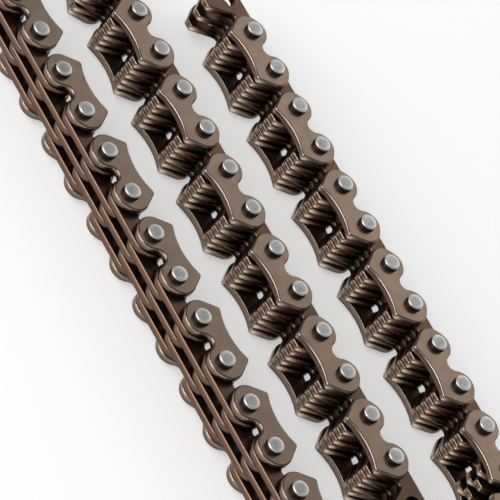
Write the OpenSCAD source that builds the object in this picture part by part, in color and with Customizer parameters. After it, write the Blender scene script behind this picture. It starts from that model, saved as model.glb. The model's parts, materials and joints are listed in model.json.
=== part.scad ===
// Silent timing chain, opened and laid on its side in a loose coil of three straight runs.
// 55 links: toothed links of three plates take turns with guide links of two guide plates,
// two toothed plates and two pins. Every plate and pin is a solid of its own.
// Millimetres. The origin is the free bore of the first link, half way up the chain's width.
// The first run goes along +X with its teeth toward -Y, the pins stand along Z, and +Z is up.

/* [Chain] */
// Distance from one pin to the next
pitch = 6.35; // [6.2:0.05:6.6]
// Diameter of a pin
pin_d = 2.3; // [2:0.05:2.4]
// How far a pin stands out of a guide plate
pin_out = 0.8; // [0.5:0.05:1]
// Thickness of every plate
plate_t = 1.15; // [0.9:0.05:1.2]
// Gap between two plates that lie on each other
plate_gap = 0.05; // [0.05:0.01:0.1]
// Radial clearance of a pin in a plate that turns on it
running_fit = 0.05; // [0.04:0.01:0.08]
// Radial gap left around a pin in a plate that it is pressed into
press_gap = 0.02; // [0.02:0.01:0.03]
// Chamfer at the ends of a pin
pin_chamfer = 0.25; // [0.1:0.05:0.4]

/* [Toothed plate] */
// Height of the straight back over the pins
back_h = 2.3; // [2:0.05:2.35]
// Distance from the pins to the tips of the teeth
tooth_h = 3.8; // [3.5:0.05:4]
// Distance between the two rounded corners of a tip, centre to centre
tip_w = 1; // [0.8:0.1:1.2]
// Radius of the corners of a tip
tip_r = 0.3; // [0.2:0.05:0.35]
// Distance from the pins to the top of the crotch between the two teeth
crotch_h = 0.35; // [0.3:0.05:0.6]
// Radius of the crotch
crotch_r = 0.7; // [0.6:0.05:0.8]

/* [Guide plate] */
// Radius of a lobe around a pin
lobe_r = 2.3; // [2.2:0.05:2.4]
// Distance from the pins to the bottom of the valley in the back
valley_h = 0.1; // [0:0.05:0.4]
// Distance from the pins to the toes
toe_h = 3.65; // [3.4:0.05:3.8]
// Radius of a toe
toe_r = 0.55; // [0.4:0.05:0.6]
// How far the centre of a toe lies outside its pin
toe_out = 0.55; // [0.4:0.05:0.6]
// Depth of the hollow between the toes
toe_hollow = 0.75; // [0.5:0.05:0.9]

/* [Plate ends] */
// How far a plate reaches past its pin
end_reach = 2.75; // [2.65:0.05:2.8]
// Radius of the round end
end_r = 2.3; // [2.2:0.05:2.35]
// How far the centre of the round end lies below the pin
end_drop = 0.35; // [0.3:0.05:0.4]

/* [Coil] */
// Bend of the first and of the last hinge of the wide turn, in degrees
wide_end_bend = 28; // [24:0.5:30]
// Bend away from the teeth on both sides of the narrow turn, in degrees
bulge_bend = 10; // [9.5:0.1:11]

/* [Hidden] */
outer_run = 12;
wide_turn = 7;
left_run = 13;
narrow_turn = 10;
inner_run = 13;
links = outer_run + wide_turn + left_run + narrow_turn + inner_run;

// Each turn brings the chain round by half a turn.
half_turn = 180;
wide_hinges = wide_turn - 1;
wide_bend = (half_turn - 2 * wide_end_bend) / wide_hinges;
bulge_hinges = 2;
tight_hinges = narrow_turn + 1 - 2 * bulge_hinges;
tight_bend = (half_turn + 2 * bulge_hinges * bulge_bend) / tight_hinges;

// How far each hinge bends the chain toward its teeth.
bends = concat(
    [for (i = [2:outer_run]) 0],
    [wide_end_bend],
    [for (i = [1:wide_hinges]) wide_bend],
    [wide_end_bend],
    [for (i = [2:left_run]) 0],
    [for (i = [1:bulge_hinges]) -bulge_bend],
    [for (i = [1:tight_hinges]) tight_bend],
    [for (i = [1:bulge_hinges]) -bulge_bend],
    [for (i = [2:inner_run]) 0]
);

// The heading of each link, and the place of its first pin.
headings = [
    for (i = 0, h = 0; i < links; h = h - (i < links - 1 ? bends[i] : 0), i = i + 1) h
];
starts = [
    for (i = 0, p = [0, 0]; i < links; p = p + pitch * unit(headings[i]), i = i + 1) p
];

half_pitch = pitch / 2;
pin_r = pin_d / 2;
press_r = pin_r + press_gap;
running_r = pin_r + running_fit;

// Seven layers of plates, counted from the middle one.
layer = plate_t + plate_gap;
guide_layers = [-3, 3];
between_layers = [-1, 1];
hinged_layers = [-2, 0, 2];
pin_half = 3 * layer + plate_t / 2 + pin_out;
// How far a cut reaches past a face.
cut = 1;
// How far an edge bites into the round that it runs into, so that they cross at a clean corner.
bite = 0.005;

// Centres of the rounded corners of a plate's right half. The middle between its pins is at 0.
pin_c = [half_pitch, 0];
end_c = [half_pitch + end_reach - end_r, -end_drop];
outer_tip_c = [half_pitch + tip_w / 2, tip_r - tooth_h];
inner_tip_c = [half_pitch - tip_w / 2, tip_r - tooth_h];
crotch_c = [0, -crotch_h - crotch_r];
toe_c = [half_pitch + toe_out, toe_r - toe_h];

// The valley in a guide plate's back is a circle that meets both lobes.
valley_r = (half_pitch ^ 2 + valley_h ^ 2 - lobe_r ^ 2) / (2 * (lobe_r - valley_h));
valley_c = [0, valley_r + valley_h];
// The hollow between its toes meets both toes in the same way.
hollow_y = toe_hollow - toe_h;
hollow_rise = hollow_y - toe_c.y;
hollow_r = (toe_c.x ^ 2 + hollow_rise ^ 2 - toe_r ^ 2) / (2 * (toe_r + hollow_rise));
hollow_c = [0, hollow_y - hollow_r];

guide_col = [0.57, 0.49, 0.43];
toothed_col = [0.36, 0.25, 0.2];
pin_col = [0.76, 0.76, 0.76];

$fn = 48;

// Part to draw

function is_toothed(i) = i % 2 == 1;
function two_digits(i) = i < 10 ? str("0", i) : str(i);
function link_name(i) = str(is_toothed(i) ? "toothed_link_" : "guide_link_", two_digits(i));

function unit(angle) = [cos(angle), sin(angle)];
function bearing(v) = atan2(v.y, v.x);
function mirrored(p) = [-p.x, p.y];

// Ends of the line from circle a to circle b that leaves both on its left.
function outside_line(a, ra, b, rb) =
    let (n = unit(bearing(b - a) - acos((ra - rb) / norm(b - a))))
    [a + (ra - bite) * n, b + (rb - bite) * n];

// Ends of the line from circle a, on its right, to circle b, on its left.
function cross_line(a, ra, b, rb) =
    let (n = unit(bearing(b - a) - acos((-ra - rb) / norm(b - a))))
    [a - (ra - bite) * n, b + (rb - bite) * n];

// The point just outside circle a that is nearest to b.
function toward(a, ra, b) = a + (ra + bite / 2) * (b - a) / norm(b - a);

// A polygon from the corners of its right half, bottom first.
module both_halves(right) {
    polygon(concat(right, [for (i = [len(right) - 1:-1:0]) mirrored(right[i])]));
}

module two_discs(c, r) {
    translate(c) circle(r);
    translate(mirrored(c)) circle(r);
}

// A plate with a straight back and two teeth, which point toward -Y.
module toothed_outline() {
    crotch_line = cross_line(crotch_c, crotch_r, inner_tip_c, tip_r);
    flank = outside_line(outer_tip_c, tip_r, end_c, end_r);
    shoulder = outside_line(end_c, end_r, pin_c, back_h);
    difference() {
        union() {
            both_halves([
                crotch_line[0],
                crotch_line[1],
                [inner_tip_c.x, -tooth_h],
                [outer_tip_c.x, -tooth_h],
                flank[0],
                flank[1],
                shoulder[0],
                shoulder[1],
                [half_pitch, back_h]
            ]);
            two_discs(inner_tip_c, tip_r);
            two_discs(outer_tip_c, tip_r);
            two_discs(end_c, end_r);
            two_discs(pin_c, back_h);
        }
        translate(crotch_c) circle(crotch_r);
    }
}

// A plate with a lobe over each pin and a valley between them, and two blunt toes.
module guide_outline() {
    flank = outside_line(toe_c, toe_r, end_c, end_r);
    shoulder = outside_line(end_c, end_r, pin_c, lobe_r);
    difference() {
        union() {
            both_halves([
                toward(toe_c, toe_r, hollow_c),
                toe_c,
                flank[0],
                flank[1],
                shoulder[0],
                shoulder[1],
                pin_c,
                toward(pin_c, lobe_r, valley_c)
            ]);
            two_discs(toe_c, toe_r);
            two_discs(end_c, end_r);
            two_discs(pin_c, lobe_r);
        }
        translate(valley_c) circle(valley_r + bite);
        translate(hollow_c) circle(hollow_r + bite);
    }
}

// Makes a plate of the outline given, with two holes, in a layer of the chain.
module plate(level, hole_r) {
    translate([0, 0, level * layer - plate_t / 2])
        difference() {
            linear_extrude(plate_t) children();
            translate([0, 0, -cut])
                linear_extrude(plate_t + 2 * cut) two_discs(pin_c, hole_r);
        }
}

module pin() {
    straight = pin_half - pin_chamfer;
    rotate_extrude()
        polygon([
            [0, -pin_half],
            [pin_r - pin_chamfer, -pin_half],
            [pin_r, -straight],
            [pin_r, straight],
            [pin_r - pin_chamfer, pin_half],
            [0, pin_half]
        ]);
}

// Three toothed plates that turn on the pins of the guide links on both sides.
module toothed_link() {
    color(toothed_col)
        for (level = hinged_layers)
            plate(level, running_r) toothed_outline();
}

// Two pins with two guide plates and two toothed plates pressed on.
module guide_link() {
    color(guide_col)
        for (level = guide_layers)
            plate(level, press_r) guide_outline();
    color(toothed_col)
        for (level = between_layers)
            plate(level, press_r) toothed_outline();
    color(pin_col)
        for (side = [-1, 1])
            translate([side * half_pitch, 0, 0]) pin();
}

// Link number i in its place in the coil.
module link(i) {
    translate(starts[i - 1])
        rotate(headings[i - 1])
            translate([half_pitch, 0, 0])
                if (is_toothed(i)) toothed_link();
                else guide_link();
}

for (i = [1:links])
    link(i);
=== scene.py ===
# %% [markdown]
# # A silent timing chain on a table
#
# A silent chain is a stack of thin stamped plates on steel pins. Links with three toothed plates
# take turns with links that have two lobed guide plates outside and two toothed plates inside.
# The imported CAD model already holds every plate and pin at its real size. Blender adds what
# a press and a tumbling drum leave behind: rounded edges, worn colour and the shine of steel,
# and paints some highlights and shade into the colour.

import json
import math

import bmesh
import bpy
from mathutils import Matrix, Vector


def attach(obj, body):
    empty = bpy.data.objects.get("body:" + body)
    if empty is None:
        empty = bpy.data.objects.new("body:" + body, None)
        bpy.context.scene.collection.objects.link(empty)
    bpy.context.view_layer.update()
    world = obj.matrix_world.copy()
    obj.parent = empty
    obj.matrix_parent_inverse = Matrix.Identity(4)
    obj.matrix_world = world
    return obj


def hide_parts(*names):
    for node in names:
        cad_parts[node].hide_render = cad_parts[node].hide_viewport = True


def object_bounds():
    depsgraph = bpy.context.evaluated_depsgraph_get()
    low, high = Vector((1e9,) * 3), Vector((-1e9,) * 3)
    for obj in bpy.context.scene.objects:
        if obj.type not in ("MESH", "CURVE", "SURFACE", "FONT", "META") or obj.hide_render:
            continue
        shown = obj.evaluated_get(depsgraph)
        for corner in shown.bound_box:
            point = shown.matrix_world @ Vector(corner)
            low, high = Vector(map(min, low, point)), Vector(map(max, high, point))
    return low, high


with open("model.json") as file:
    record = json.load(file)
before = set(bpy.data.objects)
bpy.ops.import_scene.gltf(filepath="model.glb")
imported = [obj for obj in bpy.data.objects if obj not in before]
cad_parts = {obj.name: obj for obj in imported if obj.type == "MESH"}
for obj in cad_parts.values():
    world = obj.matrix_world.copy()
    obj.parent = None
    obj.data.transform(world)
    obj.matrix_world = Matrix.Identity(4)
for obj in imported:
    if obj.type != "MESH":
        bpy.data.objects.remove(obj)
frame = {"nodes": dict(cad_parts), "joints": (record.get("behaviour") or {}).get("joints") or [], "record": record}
cad_low, cad_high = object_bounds()
MM = 0.001
cad_size = [round(v / MM, 2) for v in cad_high - cad_low]
print("CAD nodes:", len(frame["nodes"]), "box (mm):", cad_size)

# %% [markdown]
# ## Where the links lie
#
# The record gives the place of every hinge. A link is the stretch from one pin to the next, so
# the row of pins is all that is needed: the free bore of the first link, the hinges in order,
# and the free bore of the last link. Odd links are toothed links, even ones are guide links.

# %% The row of pins
record = frame["record"]
mounts = {mount["name"]: mount for mount in record["mounts"]}
hinges = sorted(frame["joints"], key=lambda joint: joint["name"])
pin_places = [Vector(mounts["outer_end_bore"]["pos_m"])]
pin_places += [Vector(hinge["pos_m"]) for hinge in hinges]
pin_places += [Vector(mounts["inner_end_bore"]["pos_m"])]
PITCH = (pin_places[1] - pin_places[0]).length


def link_node(number):
    """The name of a link's CAD node, which is also its body's name."""
    kind = "toothed_link" if number % 2 else "guide_link"
    return f"{kind}_{number:02d}"


def link_place(number):
    """The middle between a link's two pins, and its heading."""
    first, second = pin_places[number - 1], pin_places[number]
    along = second - first
    return (first + second) / 2, math.atan2(along.y, along.x)


LINK_COUNT = len(pin_places) - 1
print("Links:", LINK_COUNT, "pitch (mm):", round(PITCH / MM, 3))

# %% [markdown]
# ## The camera
#
# The photograph looks down on the chain from the side that the teeth of two of the runs point
# to, and it is turned so that the runs cross it steeply from the upper left to the lower right.
# Position and turn were fitted to the places of the pins. The camera comes before the shapes,
# so that each of them can be judged in the right view.

# %% Camera
CAMERA_TARGET = Vector((37.58, -21.43, 4.975)) * MM
CAMERA_DISTANCE = 400 * MM
CAMERA_AZIMUTH = math.radians(23.36)
CAMERA_ELEVATION = math.radians(44.76)
CAMERA_ROLL = math.radians(43.31)
PIXELS_PER_MM = 7.764
PHOTO_WIDTH = 500


def add_object(name, data):
    """A new object in the scene."""
    thing = bpy.data.objects.new(name, data)
    bpy.context.scene.collection.objects.link(thing)
    return thing


def camera_axes(azimuth, elevation, roll):
    """Right, up and backward directions of a camera that looks at its target."""
    back = Vector((
        math.cos(elevation) * math.sin(azimuth),
        -math.cos(elevation) * math.cos(azimuth),
        math.sin(elevation),
    ))
    right = Vector((math.cos(azimuth), math.sin(azimuth), 0))
    up = back.cross(right)
    rolled_right = math.cos(roll) * right + math.sin(roll) * up
    rolled_up = math.cos(roll) * up - math.sin(roll) * right
    return rolled_right, rolled_up, back


def add_camera():
    right, up, back = camera_axes(CAMERA_AZIMUTH, CAMERA_ELEVATION, CAMERA_ROLL)
    data = bpy.data.cameras.new("camera")
    focal_pixels = PIXELS_PER_MM * CAMERA_DISTANCE / MM
    data.lens = data.sensor_width * focal_pixels / PHOTO_WIDTH
    data.clip_start, data.clip_end = 10 * MM, 10
    camera = add_object("camera", data)
    turn = Matrix((right, up, back)).transposed().to_4x4()
    camera.matrix_world = Matrix.Translation(CAMERA_TARGET + back * CAMERA_DISTANCE) @ turn
    bpy.context.scene.camera = camera
    print("Camera lens:", round(data.lens, 1))


add_camera()

# %% [markdown]
# ## Outlines made of rounds
#
# Every plate outline is a closed row of rounds that flow into each other along straight lines.
# A round is a circle: its radius is positive where the edge bulges out, and negative where it
# is hollow, as in the crotch between two teeth. One formula finds the line between any two of
# them, so the outline needs only the centres and radii of the part's source. Each point
# remembers which way is outward, because the rounded edges are made by moving points inward.
# It also remembers the wear and painted highlight of its place. The small rounds are painted
# bright as worn steel and as a highlight, most of all those that face forward, and this fades
# along the lines beside them.

# %% Outline helper
ARC_STEP = math.radians(9)
SAME_POINT = 0.01
# Rounds below this radius get wear and a painted highlight, stronger where they face
# forward by at least this much.
SMALL_R = 0.6
FORWARD = 0.2
LEADING_WEAR_AND_HIGHLIGHT, TRAILING_WEAR_AND_HIGHLIGHT = 1, 0.35
# How much of a round's wear and painted highlight is left at some distances from it, in millimetres.
FADE = ((0.25, 0.8), (0.6, 0.35), (1.1, 0.08))
# On a short line the fading points are drawn together, to end before its middle.
FADE_SHARE = 0.45


def line_normal(a, b):
    """Outward angle of the line that leaves round a and runs onto round b."""
    (ax, ay, ar), (bx, by, br) = a, b
    length = math.hypot(bx - ax, by - ay)
    lean = math.acos(max(-1.0, min(1.0, (ar - br) / length)))
    return math.atan2(by - ay, bx - ax) - lean


def corner_wear_and_highlight_at(radius, outward):
    """Wear and painted highlight of a point on a round."""
    if not 0 < radius < SMALL_R:
        return 0
    return LEADING_WEAR_AND_HIGHLIGHT if outward.x > FORWARD else TRAILING_WEAR_AND_HIGHLIGHT


def round_points(x, y, radius, start, end):
    """(point, outward direction, wear and painted highlight) along one round."""
    turn = (end - start) % math.tau
    if radius < 0:
        turn -= math.tau
    steps = max(1, math.ceil(abs(turn) / ARC_STEP))
    points = []
    for k in range(steps + 1):
        angle = start + turn * k / steps
        outward = Vector((math.cos(angle), math.sin(angle)))
        place = Vector((x, y)) + radius * outward
        points.append((place, outward, corner_wear_and_highlight_at(radius, outward)))
    return points


def line_points(first, last):
    """Points near both ends of a line between two rounds, where the wear and painted highlight fade."""
    (start, outward, start_wear_and_highlight), (end, _, end_wear_and_highlight) = first, last
    length = (end - start).length
    if length < 2 * FADE[0][0]:
        return []
    step = (end - start) * min(1 / length, FADE_SHARE / FADE[-1][0])
    leaving = [(start + step * reach, outward, start_wear_and_highlight * share) for reach, share in FADE]
    arriving = [(end - step * reach, outward, end_wear_and_highlight * share) for reach, share in FADE]
    return leaving + arriving[::-1]


def rounded_outline(rounds):
    """(point, outward direction, wear and painted highlight) counterclockwise round the plate."""
    count = len(rounds)
    normals = [line_normal(rounds[i], rounds[(i + 1) % count]) for i in range(count)]
    arcs = [round_points(*rounds[i], normals[i - 1], normals[i]) for i in range(count)]
    outline = []
    for arc, following in zip(arcs, arcs[1:] + arcs[:1]):
        for item in arc + line_points(arc[-1], following[0]):
            if not outline or (item[0] - outline[-1][0]).length > SAME_POINT:
                outline.append(item)
    if (outline[0][0] - outline[-1][0]).length < SAME_POINT:
        outline.pop()
    return outline


def both_sides(middle_bottom, right, middle_top):
    """Rounds of a whole plate from those of its right half, bottom first."""
    left = [(-x, y, radius) for x, y, radius in reversed(right)]
    return middle_bottom + right + middle_top + left


# %% The two outlines, in millimetres
HALF_PITCH = PITCH / MM / 2
BACK_H, TOOTH_H, TIP_W, TIP_R = 2.3, 3.8, 1.0, 0.3
CROTCH_H, CROTCH_R = 0.35, 0.7
LOBE_R, VALLEY_H = 2.3, 0.1
TOE_H, TOE_R, TOE_OUT, TOE_HOLLOW = 3.65, 0.55, 0.55, 0.75
END_REACH, END_R, END_DROP = 2.75, 2.3, 0.35
end_round = (HALF_PITCH + END_REACH - END_R, -END_DROP, END_R)

toothed_rounds = both_sides(
    [(0, -CROTCH_H - CROTCH_R, -CROTCH_R)],
    [
        (HALF_PITCH - TIP_W / 2, TIP_R - TOOTH_H, TIP_R),
        (HALF_PITCH + TIP_W / 2, TIP_R - TOOTH_H, TIP_R),
        end_round,
        (HALF_PITCH, 0, BACK_H),
    ],
    [],
)

TOE_X, TOE_Y = HALF_PITCH + TOE_OUT, TOE_R - TOE_H
HOLLOW_TOP = TOE_HOLLOW - TOE_H
HOLLOW_RISE = HOLLOW_TOP - TOE_Y
HOLLOW_R = (TOE_X**2 + HOLLOW_RISE**2 - TOE_R**2) / (2 * (TOE_R + HOLLOW_RISE))
VALLEY_R = (HALF_PITCH**2 + VALLEY_H**2 - LOBE_R**2) / (2 * (LOBE_R - VALLEY_H))

guide_rounds = both_sides(
    [(0, HOLLOW_TOP - HOLLOW_R, -HOLLOW_R)],
    [(TOE_X, TOE_Y, TOE_R), end_round, (HALF_PITCH, 0, LOBE_R)],
    [(0, VALLEY_H + VALLEY_R, -VALLEY_R)],
)
toothed_outline = rounded_outline(toothed_rounds)
guide_outline = rounded_outline(guide_rounds)
print("Outline points:", len(toothed_outline), "toothed,", len(guide_outline), "guide")

# %% [markdown]
# ## One plate
#
# A press cuts each plate out of strip, and a drum of abrasive stones rounds its edges. The mesh
# repeats that outline at several heights: full size along the wall, and moved inward step by
# step toward the flat faces. The rounding reaches further down the wall than onto the face, as
# on a stamped plate. The holes for the pins are made the same way. Five attributes go along
# with the mesh for the materials: how close a point is to the rounded upper edge, where wear
# and a painted highlight go; whether it lies on the wall; the wear and painted highlight of its
# corner; how far a wall is from the crotch, where shade is painted; and whether it lies in the
# seam between two plates, where shade is painted too. A Bevel modifier wouldn't know any of them.

# %% Plate mesh
EDGE_INSET, EDGE_RISE = 0.24, 0.44
EDGE_STEPS = 5
HOLE_EDGE = 0.06
HOLE_POINTS = 28
# Walls near this height, which runs through the crotch between the teeth, get painted shade.
CROTCH_SHADE_Y, CROTCH_SHADE_HALF, CROTCH_SHADE_FADE = -0.4, 0.6, 2.0
MARKS = ("near_edge", "on_wall", "corner_wear", "rubbed", "seam")


def out_of_crotch_shade_at(y):
    """How far a wall is out of the painted crotch shade at a height: 0 in the crotch, 1 at the tips and the back.
    """
    return min(1, max(0, (abs(y - CROTCH_SHADE_Y) - CROTCH_SHADE_HALF) / CROTCH_SHADE_FADE))


def edge_profile(thickness, inset, rise, steps):
    """Rows of (inset, height, edge highlight, on wall, seam shade) from the bottom face to the top face.

    Painted seam shade covers the whole lower edge, and of the upper one only the first row beside the face.
    """
    half = thickness / 2
    lower, upper = [], []
    for k in range(steps + 1):
        angle = math.radians(90) * k / steps
        inward = inset * (1 - math.sin(angle))
        height = rise * (1 - math.cos(angle)) - half
        near, wall = math.sin(2 * angle), k / steps
        lower.append((inward, height, 0, wall, near))
        upper.append((inward, -height, near, wall, 1 if k == 1 else 0))
    return lower + upper[::-1]


def add_marks(bm):
    return [bm.verts.layers.float.new(mark) for mark in MARKS]


def add_vertex(bm, marks, place, values):
    vertex = bm.verts.new(place * MM)
    for mark, value in zip(marks, values):
        vertex[mark] = value
    return vertex


def add_wall(bm, outline, profile, marks):
    """Rings of vertices along an outline, joined by quads. Returns the first and last ring."""
    rings = []
    for inset, height, near, wall, seam in profile:
        ring = []
        for point, outward, wear_and_highlight in outline:
            place = (point - outward * inset).to_3d()
            place.z = height
            values = (near, wall, wear_and_highlight, out_of_crotch_shade_at(place.y), seam)
            ring.append(add_vertex(bm, marks, place, values))
        rings.append(ring)
    for low, high in zip(rings, rings[1:]):
        for i in range(len(low)):
            j = (i + 1) % len(low)
            bm.faces.new((low[i], low[j], high[j], high[i]))
    return rings[0], rings[-1]


def hole_outline(x, radius):
    """A hole's outline: clockwise, because the plate's outside is the hole's inside."""
    outline = []
    for k in range(HOLE_POINTS):
        angle = -math.tau * k / HOLE_POINTS
        outward = Vector((-math.cos(angle), -math.sin(angle)))
        outline.append((Vector((x, 0)) - radius * outward, outward, 0))
    return outline


def fill_face(bm, rings, upward):
    """Closes a flat face between the outer ring and the rings of the holes."""
    edges = []
    for ring in rings:
        edges += [bm.edges.get((ring[i - 1], ring[i])) for i in range(len(ring))]
    made = bmesh.ops.triangle_fill(bm, use_beauty=True, edges=edges)
    for face in (item for item in made["geom"] if isinstance(item, bmesh.types.BMFace)):
        face.smooth = False
        face.normal_update()
        if (face.normal.z > 0) != upward:
            face.normal_flip()


def mesh_from(bm, name):
    mesh = bpy.data.meshes.new(name)
    bm.to_mesh(mesh)
    bm.free()
    return mesh


def plate_mesh(name, outline, thickness, hole_radius):
    bm = bmesh.new()
    marks = add_marks(bm)
    edge = edge_profile(thickness, EDGE_INSET, EDGE_RISE, EDGE_STEPS)
    hole_edge = edge_profile(thickness, HOLE_EDGE, HOLE_EDGE, steps=1)
    walls = [add_wall(bm, outline, edge, marks)]
    for x in (-HALF_PITCH, HALF_PITCH):
        walls.append(add_wall(bm, hole_outline(x, hole_radius), hole_edge, marks))
    for face in bm.faces:
        face.smooth = True
    bm.normal_update()
    fill_face(bm, [low for low, high in walls], upward=False)
    fill_face(bm, [high for low, high in walls], upward=True)
    return mesh_from(bm, name)


PLATE_T = 1.15
PIN_R = 1.15
PRESS_GAP, RUNNING_FIT = 0.02, 0.05
PRESS_R = PIN_R + PRESS_GAP
RUNNING_R = PIN_R + RUNNING_FIT
guide_plate = plate_mesh("guide_plate", guide_outline, PLATE_T, PRESS_R)
between_plate = plate_mesh("between_plate", toothed_outline, PLATE_T, PRESS_R)
hinged_plate = plate_mesh("hinged_plate", toothed_outline, PLATE_T, RUNNING_R)
print("Plate faces:", len(guide_plate.polygons), len(hinged_plate.polygons))

# %% [markdown]
# ## One pin
#
# A pin is a plain cylinder with rounded ends, pressed into its guide plates. A profile turned
# round the axis gives it: the round at the end is what catches the light in the photograph.
# The top is very slightly crowned, as on a pin cut from tumbled wire.

# %% Pin mesh
PLATE_GAP, PIN_OUT = 0.05, 0.8
LAYER = PLATE_T + PLATE_GAP
PIN_HALF = 3 * LAYER + PLATE_T / 2 + PIN_OUT
PIN_EDGE_R, PIN_EDGE_STEPS = 0.2, 4
PIN_POINTS = 40
PIN_CROWN = 0.03
# The flat top is dull up to this share of its radius, and brighter toward its rim.
DULL_SHARE, RIM_WEAR_AND_HIGHLIGHT = 0.6, 0.6
# A narrow band under the rounded end goes over to the dark wall.
WALL_BAND = 0.06


def pin_profile():
    """(radius, height, near edge, on wall) from the middle of the top down to the bottom."""
    flat = PIN_R - PIN_EDGE_R
    upper = [
        (0, PIN_HALF, 0, 0),
        (DULL_SHARE * flat, PIN_HALF - PIN_CROWN / 2, 0, 0),
        (flat, PIN_HALF - PIN_CROWN, RIM_WEAR_AND_HIGHLIGHT, 0),
    ]
    for k in range(1, PIN_EDGE_STEPS + 1):
        angle = math.radians(90) * k / PIN_EDGE_STEPS
        drop = (PIN_EDGE_R - PIN_CROWN) * (1 - math.cos(angle))
        radius = flat + PIN_EDGE_R * math.sin(angle)
        upper.append((radius, PIN_HALF - PIN_CROWN - drop, math.sin(2 * angle), 0))
    upper.append((PIN_R, PIN_HALF - PIN_EDGE_R - WALL_BAND, 0, 1))
    lower = [(radius, -height, near, wall) for radius, height, near, wall in reversed(upper)]
    return upper + lower


def pin_mesh(name):
    bm = bmesh.new()
    marks = add_marks(bm)
    rings = []
    for radius, height, near, wall in pin_profile():
        count = 1 if radius == 0 else PIN_POINTS
        ring = []
        for k in range(count):
            angle = math.tau * k / PIN_POINTS
            place = Vector((radius * math.cos(angle), radius * math.sin(angle), height))
            ring.append(add_vertex(bm, marks, place, (near, wall, 0, 0, 0)))
        rings.append(ring)
    for high, low in zip(rings, rings[1:]):
        for i in range(PIN_POINTS):
            j = (i + 1) % PIN_POINTS
            if len(high) == 1:
                corners = (high[0], low[i], low[j])
            elif len(low) == 1:
                corners = (high[i], low[0], high[j])
            else:
                corners = (high[i], low[i], low[j], high[j])
            bm.faces.new(corners).smooth = True
    return mesh_from(bm, name)


pin = pin_mesh("pin")
print("Pin faces:", len(pin.polygons))

# %% [markdown]
# ## Shader maths in words
#
# Node trees for materials read more easily as expressions. The class below wraps a socket, so
# that `1 - mask * 0.5` adds the Math nodes for it. Any other node comes from `add`, which takes
# the node's type, its settings and the values or links of its sockets. A colour goes through
# `mixed`, because a Math node would turn it grey.

# %% Socket expressions
class Value:
    """A socket that can be used in an expression."""

    def __init__(self, shader, socket):
        self.shader, self.socket = shader, socket

    def maths(self, operation, *values):
        sockets = {i: value for i, value in enumerate(values)}
        return self.shader.add("ShaderNodeMath", {"operation": operation}, sockets)

    def __add__(self, other):
        return self.maths("ADD", self, other)

    def __mul__(self, other):
        return self.maths("MULTIPLY", self, other)

    def __rsub__(self, other):
        return self.maths("SUBTRACT", other, self)

    def between(self, low, high, start=0.0, end=1.0):
        """Start below low, end above high, and a straight blend in between."""
        sockets = {"From Min": low, "From Max": high, "To Min": start, "To Max": end}
        sockets["Value"] = self
        return self.shader.add("ShaderNodeMapRange", {"clamp": True}, sockets, "Result")


class Shader:
    """A new material and a short way to add nodes to it."""

    def __init__(self, name):
        self.material = bpy.data.materials.new(name)
        self.material.use_nodes = True
        self.tree = self.material.node_tree
        self.tree.nodes.clear()

    def add(self, kind, settings=None, sockets=None, output=0):
        node = self.tree.nodes.new(kind)
        for key, value in (settings or {}).items():
            setattr(node, key, value)
        for key, value in (sockets or {}).items():
            self.connect(node.inputs[key], value)
        return Value(self, node.outputs[output]) if node.outputs else None

    def connect(self, socket, value):
        if isinstance(value, Value):
            self.tree.links.new(value.socket, socket)
        else:
            socket.default_value = value

    def attribute(self, name):
        return self.add("ShaderNodeAttribute", {"attribute_name": name}, {}, "Fac")

    def noise(self, place, scale, detail, roughness):
        sockets = {"Vector": place, "Scale": scale, "Detail": detail, "Roughness": roughness}
        return self.add("ShaderNodeTexNoise", {}, sockets, "Fac")

    def mixed(self, factor, a, b):
        """A colour between two colours."""
        # Sockets of several kinds share the names A, B and Result, so the colours go by number.
        sockets = {"Factor": factor, 6: a, 7: b}
        return self.add("ShaderNodeMix", {"data_type": "RGBA"}, sockets, 2)

    def bumped(self, height, strength, distance):
        sockets = {"Height": height, "Strength": strength, "Distance": distance}
        return self.add("ShaderNodeBump", {}, sockets)

    def finish(self, sockets):
        surface = self.add("ShaderNodeBsdfPrincipled", {}, sockets)
        self.add("ShaderNodeOutputMaterial", {}, {"Surface": surface})
        return self.material


def rgb(red, green, blue):
    """A colour picked in 0 to 255, in the linear numbers that a shader wants."""
    def linear(value):
        value /= 255
        return value / 12.92 if value <= 0.04045 else ((value + 0.055) / 1.055) ** 2.4
    return (linear(red), linear(green), linear(blue), 1)


# %% [markdown]
# ## Steel with a heat-treated skin
#
# The plates are steel with a thin oxide skin, bronze on the guide plates and darker brown on
# the toothed plates. Noise in real millimetres makes its patches, so they have the same size on
# every plate. The plate's own attributes do the rest: walls are painted darker toward the crotch
# as shade, almost black on the toothed plates, upper edges and tooth corners are painted bright
# as wear and highlight, and the seams get painted shade. One function makes both steels from
# their own colours.

# %% Plate materials
# Features per metre: patches of about 2.5 mm, and grain of 0.3 mm.
PATCH_SCALE, GRAIN_SCALE = 420.0, 3200.0


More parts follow.
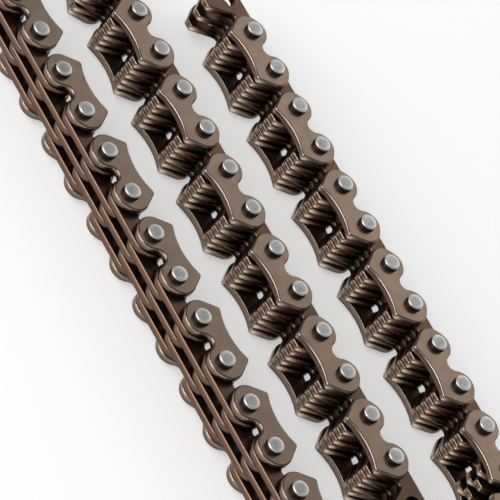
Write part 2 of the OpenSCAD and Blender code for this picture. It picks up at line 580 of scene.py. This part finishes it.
def plate_steel(name, skin, patch, wall, crotch_shade, seam, worn_edge_highlight, worn_corner_highlight, roughness):
    shader = Shader(name)
    place = shader.add("ShaderNodeTexCoord", {}, {}, "Object")
    patches = shader.noise(place, PATCH_SCALE, detail=4.0, roughness=0.6)
    grain = shader.noise(place, GRAIN_SCALE, detail=2.0, roughness=0.6)
    # Painted shade in the seams between plates, almost black.
    on_wall = shader.attribute("on_wall")
    clear = 1 - shader.attribute("seam")
    # Wear and a painted highlight along the rounded upper edge.
    edge = shader.attribute("near_edge") * grain.between(0.3, 0.6, 0.35, 0.7)
    # Tooth corners painted bright: wear and a painted highlight, strongest on forward corners.
    corner = shader.attribute("corner_wear") * on_wall * grain.between(0.2, 0.6, 0.7, 1.0)
    colour = shader.mixed(patches.between(0.35, 0.65), skin, patch)
    # Walls are painted darker toward the crotch as shade, almost black on the toothed plates.
    wall_colour = shader.mixed(shader.attribute("rubbed"), crotch_shade, wall)
    colour = shader.mixed(on_wall, colour, wall_colour)
    colour = shader.mixed(edge, colour, worn_edge_highlight)
    colour = shader.mixed(corner, colour, worn_corner_highlight)
    colour = shader.mixed(clear, seam, colour)
    rough = grain.between(0.3, 0.7, roughness - 0.01, roughness + 0.03) + patches * 0.04
    return shader.finish({
        "Base Color": colour,
        "Metallic": 0.95,
        "Roughness": rough,
        "Normal": shader.bumped(grain + patches * 0.6, strength=0.015, distance=0.02 * MM),
    })


guide_steel = plate_steel(
    "guide_steel",
    skin=rgb(148, 128, 112), patch=rgb(138, 119, 103),
    wall=rgb(118, 101, 88), crotch_shade=rgb(104, 88, 77), seam=rgb(14, 11, 9),
    worn_edge_highlight=rgb(186, 166, 150), worn_corner_highlight=rgb(245, 226, 208), roughness=0.23,
)
toothed_steel = plate_steel(
    "toothed_steel",
    skin=rgb(106, 83, 68), patch=rgb(94, 74, 61),
    wall=rgb(114, 86, 68), crotch_shade=rgb(18, 14, 12), seam=rgb(8, 6, 5),
    worn_edge_highlight=rgb(140, 118, 102), worn_corner_highlight=rgb(255, 228, 202), roughness=0.22,
)


# %% [markdown]
# ## Bare steel
#
# The pins are ground wire without the skin. Their ends are dull in the middle and bright at the
# rim, with edge wear and a painted highlight, and their walls are painted dark as shade.

# %% Pin material
SPOT_SCALE, PIN_GRAIN_SCALE = 900.0, 5000.0


def pin_steel(name):
    shader = Shader(name)
    place = shader.add("ShaderNodeTexCoord", {}, {}, "Object")
    spots = shader.noise(place, SPOT_SCALE, detail=3.0, roughness=0.6)
    grain = shader.noise(place, PIN_GRAIN_SCALE, detail=2.0, roughness=0.5)
    colour = shader.mixed(spots.between(0.35, 0.7), rgb(188, 187, 185), rgb(158, 157, 155))
    # Rim painted lighter: edge wear and a painted highlight.
    colour = shader.mixed(shader.attribute("near_edge"), colour, rgb(240, 240, 238))
    # Walls painted dark as shade.
    colour = shader.mixed(shader.attribute("on_wall"), colour, rgb(84, 73, 65))
    return shader.finish({
        "Base Color": colour,
        "Metallic": 0.9,
        "Roughness": grain.between(0.3, 0.7, 0.32, 0.45),
        "Normal": shader.bumped(grain, strength=0.2, distance=0.01 * MM),
    })


bare_steel = pin_steel("pin_steel")
print("Materials:", guide_steel.name, toothed_steel.name, bare_steel.name)

# %% [markdown]
# ## Links from plates
#
# The chain repeats three shapes 246 times, which is work for Geometry Nodes. The group `stack`
# sets one piece down several times along a line, turns and moves the row to its link's place in
# the coil, makes real meshes of it and gives them their material. A toothed link is one stack,
# and a guide link is three: guide plates, toothed plates and pins.

# %% The stack group
STACK_INPUTS = [
    ("Piece", "NodeSocketObject"),
    ("Count", "NodeSocketInt"),
    ("Step", "NodeSocketVector"),
    ("Place", "NodeSocketVector"),
    ("Heading", "NodeSocketFloat"),
    ("Material", "NodeSocketMaterial"),
]


def new_tree(name, inputs):
    tree = bpy.data.node_groups.new(name, "GeometryNodeTree")
    tree.interface.new_socket("Geometry", in_out="OUTPUT", socket_type="NodeSocketGeometry")
    for label, kind in inputs:
        tree.interface.new_socket(label, in_out="INPUT", socket_type=kind)
    return tree, tree.nodes.new("NodeGroupInput"), tree.nodes.new("NodeGroupOutput")


def build_stack():
    tree, given, result = new_tree("stack", STACK_INPUTS)
    nodes, links = tree.nodes, tree.links

    # The row is centred on its place, so it starts (1 - Count) / 2 steps from it.
    steps_back = nodes.new("ShaderNodeMath")
    steps_back.operation = "MULTIPLY_ADD"
    links.new(given.outputs["Count"], steps_back.inputs[0])
    steps_back.inputs[1].default_value = -0.5
    steps_back.inputs[2].default_value = 0.5
    start = nodes.new("ShaderNodeVectorMath")
    start.operation = "SCALE"
    links.new(given.outputs["Step"], start.inputs[0])
    links.new(steps_back.outputs[0], start.inputs["Scale"])

    row = nodes.new("GeometryNodeMeshLine")
    row.mode = "OFFSET"
    links.new(given.outputs["Count"], row.inputs["Count"])
    links.new(start.outputs[0], row.inputs["Start Location"])
    links.new(given.outputs["Step"], row.inputs["Offset"])

    piece = nodes.new("GeometryNodeObjectInfo")
    links.new(given.outputs["Piece"], piece.inputs["Object"])
    repeat = nodes.new("GeometryNodeInstanceOnPoints")
    links.new(row.outputs["Mesh"], repeat.inputs["Points"])
    links.new(piece.outputs["Geometry"], repeat.inputs["Instance"])

    turn = nodes.new("ShaderNodeCombineXYZ")
    links.new(given.outputs["Heading"], turn.inputs["Z"])
    put = nodes.new("GeometryNodeTransform")
    links.new(repeat.outputs["Instances"], put.inputs["Geometry"])
    links.new(given.outputs["Place"], put.inputs["Translation"])
    links.new(turn.outputs["Vector"], put.inputs["Rotation"])

    real = nodes.new("GeometryNodeRealizeInstances")
    links.new(put.outputs["Geometry"], real.inputs["Geometry"])
    painted = nodes.new("GeometryNodeSetMaterial")
    links.new(real.outputs["Geometry"], painted.inputs["Geometry"])
    links.new(given.outputs["Material"], painted.inputs["Material"])
    links.new(painted.outputs["Geometry"], result.inputs["Geometry"])
    return tree


stack = build_stack()
print("Nodes in the stack group:", len(stack.nodes))


# %% The two link trees
def build_link(name, stacks):
    """A tree of stacks. Each stack is (label, count, step, material); all share a place."""
    inputs = [("Place", "NodeSocketVector"), ("Heading", "NodeSocketFloat")]
    inputs += [(label, "NodeSocketObject") for label, *rest in stacks]
    tree, given, result = new_tree(name, inputs)
    join = tree.nodes.new("GeometryNodeJoinGeometry")
    for label, count, step, material in stacks:
        node = tree.nodes.new("GeometryNodeGroup")
        node.node_tree = stack
        node.inputs["Count"].default_value = count
        node.inputs["Step"].default_value = Vector(step) * MM
        node.inputs["Material"].default_value = material
        tree.links.new(given.outputs[label], node.inputs["Piece"])
        tree.links.new(given.outputs["Place"], node.inputs["Place"])
        tree.links.new(given.outputs["Heading"], node.inputs["Heading"])
        tree.links.new(node.outputs["Geometry"], join.inputs["Geometry"])
    tree.links.new(join.outputs["Geometry"], result.inputs["Geometry"])
    return tree


toothed_link_tree = build_link("toothed_link", [
    ("Toothed plate", 3, (0, 0, 2 * LAYER), toothed_steel),
])
guide_link_tree = build_link("guide_link", [
    ("Guide plate", 2, (0, 0, 6 * LAYER), guide_steel),
    ("Toothed plate", 2, (0, 0, 2 * LAYER), toothed_steel),
    ("Pin", 2, (2 * HALF_PITCH, 0, 0), bare_steel),
])


# %% Run the trees, once for each link
shapes = (guide_plate, between_plate, hinged_plate, pin)
sources = {mesh.name: add_object(mesh.name, mesh) for mesh in shapes}


def socket_key(tree, label):
    for item in tree.interface.items_tree:
        if item.name == label and item.in_out == "INPUT":
            return item.identifier
    raise KeyError(label)


def make_link(number):
    toothed = number % 2 == 1
    tree = toothed_link_tree if toothed else guide_link_tree
    place, heading = link_place(number)
    carrier = add_object("carrier", bpy.data.meshes.new("carrier"))
    modifier = carrier.modifiers.new("link", "NODES")
    modifier.node_group = tree
    modifier[socket_key(tree, "Place")] = tuple(place)
    modifier[socket_key(tree, "Heading")] = heading
    if toothed:
        modifier[socket_key(tree, "Toothed plate")] = sources["hinged_plate"]
    else:
        modifier[socket_key(tree, "Guide plate")] = sources["guide_plate"]
        modifier[socket_key(tree, "Toothed plate")] = sources["between_plate"]
        modifier[socket_key(tree, "Pin")] = sources["pin"]
    evaluated = carrier.evaluated_get(bpy.context.evaluated_depsgraph_get())
    mesh = bpy.data.meshes.new_from_object(evaluated)
    bpy.data.objects.remove(carrier)
    node = link_node(number)
    piece = add_object(f"{node}_steel", mesh)
    mesh.name = piece.name
    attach(piece, node)
    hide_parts(node)
    return piece


link_pieces = [make_link(number) for number in range(1, LINK_COUNT + 1)]
for thing in sources.values():
    bpy.data.objects.remove(thing)
print("Link pieces:", len(link_pieces), "faces:", sum(len(p.data.polygons) for p in link_pieces))

# %% [markdown]
# ## Table and light
#
# The photograph is a studio shot on a white table, with soft shadows close to the chain. The
# table is a plain white surface that the lamps light almost to white. The camera, and the steel
# that mirrors the table, see more light from it than it really gives, and the soft shadows
# stay. A lamp behind the chain is mirrored by the flat plates, and a larger one in front lights
# the teeth. The room adds an even light, so that the steel shows its colour from every side.

# %% Table
TABLE_SIZE = 4.0
TABLE_GLOW = 0.42


def add_table():
    shader = Shader("white_table")
    rays = [
        shader.add("ShaderNodeLightPath", {}, {}, f"Is {kind} Ray")
        for kind in ("Camera", "Glossy", "Transmission")
    ]
    seen = (rays[0] + rays[1] + rays[2]).between(0.0, 1.0)
    black, glow = (0, 0, 0, 1), (TABLE_GLOW, TABLE_GLOW, TABLE_GLOW, 1)
    material = shader.finish({
        "Base Color": (0.8, 0.8, 0.8, 1),
        "Roughness": 0.9,
        "Specular IOR Level": 0.1,
        "Emission Color": shader.mixed(seen, black, glow),
        "Emission Strength": 1.0,
    })
    bm = bmesh.new()
    half = TABLE_SIZE / 2
    sides = ((-half, -half), (half, -half), (half, half), (-half, half))
    bm.faces.new([bm.verts.new((x, y, cad_low.z)) for x, y in sides])
    mesh = mesh_from(bm, "table")
    mesh.materials.append(material)
    table = add_object("table", mesh)
    return table


table = add_table()
print("Table faces:", len(table.data.polygons))


# %% Lamps
def add_softbox(name, azimuth, elevation, distance, size, power):
    """A square lamp that looks at the chain from a direction, in degrees."""
    right, up, back = camera_axes(math.radians(azimuth), math.radians(elevation), 0)
    data = bpy.data.lights.new(name, "AREA")
    data.shape, data.size, data.energy = "SQUARE", size, power
    lamp = add_object(name, data)
    turn = Matrix((right, up, back)).transposed().to_4x4()
    lamp.matrix_world = Matrix.Translation(CAMERA_TARGET + back * distance) @ turn


def add_room(strength):
    world = bpy.data.worlds.new("room")
    world.use_nodes = True
    background = world.node_tree.nodes["Background"]
    background.inputs["Color"].default_value = (1, 1, 1, 1)
    background.inputs["Strength"].default_value = strength
    bpy.context.scene.world = world


add_softbox("back", azimuth=-168, elevation=25, distance=0.4, size=0.33, power=0.3)
add_softbox("front", azimuth=-22, elevation=32, distance=0.6, size=0.55, power=3.0)
add_room(strength=0.28)
bpy.context.scene.view_settings.view_transform = "Standard"
